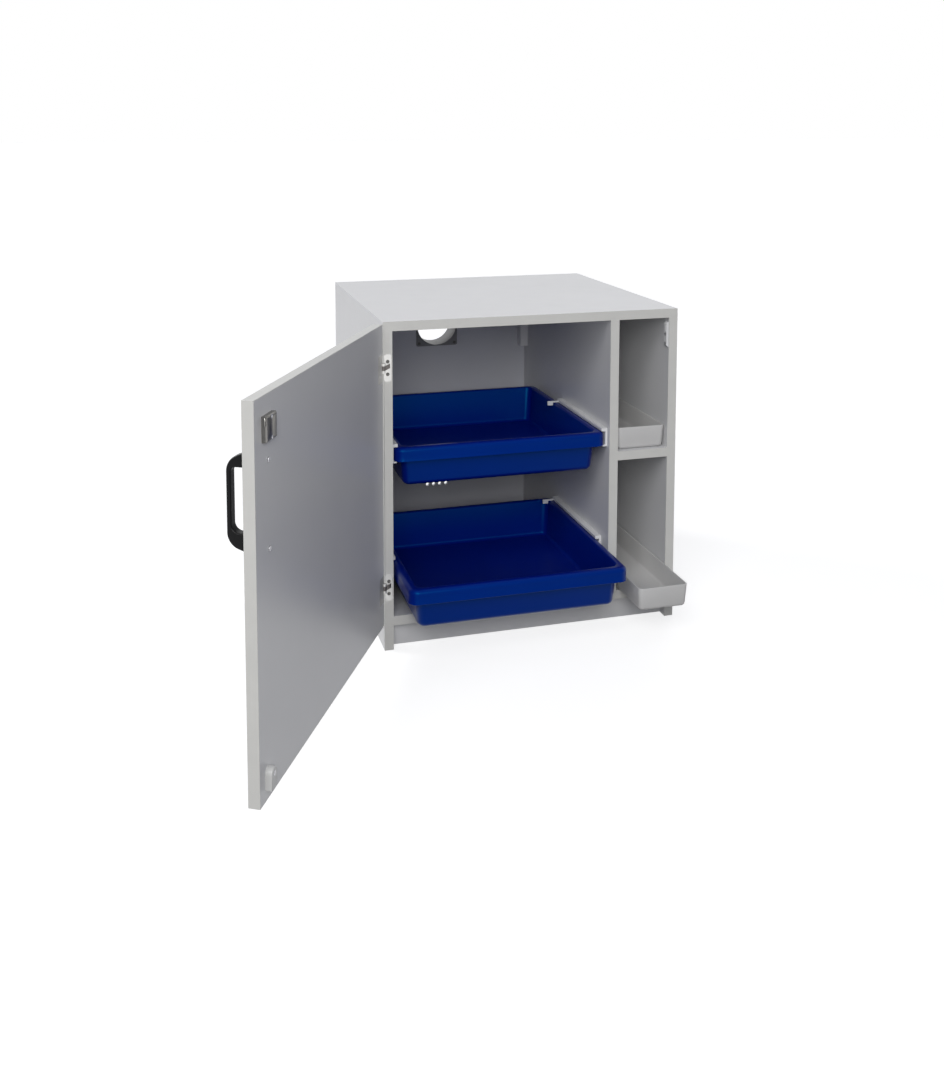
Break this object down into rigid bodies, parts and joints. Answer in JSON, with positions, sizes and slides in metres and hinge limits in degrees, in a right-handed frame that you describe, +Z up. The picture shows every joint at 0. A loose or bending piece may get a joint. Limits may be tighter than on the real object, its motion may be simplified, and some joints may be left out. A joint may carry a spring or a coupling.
{
  "type": "reagent drawer cabinet",
  "caption": "Low laboratory cabinet with pull-out trays and narrow bins behind one hinged door with a rim lock and bow handle, and a round air duct spigot at the back.",
  "frame": {"origin": "on the floor, at the middle of the width and of the kickboard's thickness", "axes": "+X to the right seen from the front, +Y to the back, +Z up"},
  "size_m": [0.9189, 1.114, 0.635],
  "materials": {
    "board": "white melamine-faced chipboard, satin",
    "back_board": "white melamine-faced board, satin",
    "edge_band": "glued edge band, slightly warmer than the board",
    "dowel_wood": "turned beech",
    "tray_plastic": "vacuum-formed glossy blue plastic",
    "bin_plastic": "moulded pale plastic, satin gloss",
    "runner_plastic": "white moulded plastic",
    "duct_plastic": "pale moulded plastic",
    "screw_steel": "zinc-plated steel",
    "hinge_plate": "pale die-cast zinc",
    "hinge_arm": "dark oiled steel",
    "lock_nickel": "dark satin nickel",
    "lock_brass": "nickel-plated brass",
    "handle_plastic": "black satin moulded plastic",
    "catch_plastic": "milky translucent plastic"
  },
  "bodies": {
    "carcass": {"top_panel": "board", "left_side_panel": "board", "right_side_panel": "board", "bottom_panel": "board", "back_panel": "back_board", "divider_panel": "board", "side_shelf": "board", "kickboard": "board", "rear_plinth_rail": "board", "carcass_edge_bands": "edge_band", "carcass_dowels": "dowel_wood", "back_corner_blocks": "runner_plastic", "duct_spigot": "duct_plastic", "duct_screws": "screw_steel", "upper_runner_left": "runner_plastic", "upper_runner_right": "runner_plastic", "lower_runner_left": "runner_plastic", "lower_runner_right": "runner_plastic", "runner_screws": "screw_steel", "strike_keeper": "runner_plastic", "strike_screws": "screw_steel", "upper_hinge_plate": "hinge_plate", "lower_hinge_plate": "hinge_plate", "upper_hinge_arm": "hinge_arm", "lower_hinge_arm": "hinge_arm", "hinge_plate_screws": "screw_steel"},
    "door": {"door_panel": "board", "door_edge_bands": "edge_band", "upper_hinge_leaf": "hinge_plate", "lower_hinge_leaf": "hinge_plate", "hinge_leaf_screws": "screw_steel", "hinge_pins": "screw_steel", "door_handle": "handle_plastic", "handle_screws": "screw_steel", "lock_case": "lock_nickel", "lock_screws": "screw_steel", "lock_escutcheon": "lock_nickel", "lock_cylinder": "lock_brass", "catch_housing": "catch_plastic", "catch_screw": "screw_steel"},
    "lock_core": {"lock_plug": "lock_brass"},
    "lock_bolt": {"lock_bolt": "lock_nickel"},
    "catch_plunger": {"catch_plunger": "catch_plastic"},
    "upper_tray": {"upper_tray": "tray_plastic"},
    "lower_tray": {"lower_tray": "tray_plastic"},
    "upper_bin": {"upper_bin": "bin_plastic"},
    "lower_bin": {"lower_bin": "bin_plastic"}
  },
  "joints": [
    {"name": "door_swing", "type": "hinge", "parent": "carcass", "child": "door", "pos_m": [-0.2997, -0.0322, 0.3], "axis": [0, 0, -1], "range_deg": [-118.4, 0]},
    {"name": "lower_tray_slide", "type": "slide", "parent": "carcass", "child": "lower_tray", "axis": [0, -1, 0], "range_m": [-0.162, 0]},
    {"name": "lower_bin_slide", "type": "slide", "parent": "carcass", "child": "lower_bin", "axis": [0, -1, 0], "range_m": [-0.1235, 0]},
    {"name": "upper_tray_slide", "type": "slide", "parent": "carcass", "child": "upper_tray", "axis": [0, -1, 0], "range_m": [0, 0.14]},
    {"name": "upper_bin_slide", "type": "slide", "parent": "carcass", "child": "upper_bin", "axis": [0, -1, 0], "range_m": [0, 0.115]},
    {"name": "lock_turn", "type": "hinge", "parent": "door", "child": "lock_core", "pos_m": [-0.564, -0.51932, 0.5845], "axis": [0.8796, -0.4756, 0], "range_deg": [0, 90]},
    {"name": "lock_bolt_slide", "type": "slide", "parent": "door", "child": "lock_bolt", "axis": [-0.4756, -0.8796, 0], "range_m": [0, 0.005]},
    {"name": "catch_press", "type": "slide", "parent": "door", "child": "catch_plunger", "axis": [0, 0, 1], "range_m": [0, 0.0014], "stiffness_N_per_m": 200, "springref_m": -0.002}
  ],
  "couplings": [
    {"joint": "lower_tray_slide", "follows": "door_swing", "m_per_rad": 0.0779},
    {"joint": "lower_bin_slide", "follows": "door_swing", "m_per_rad": 0.0595},
    {"joint": "lock_turn", "follows": "lock_bolt_slide", "rad_per_m": 314}
  ]
}
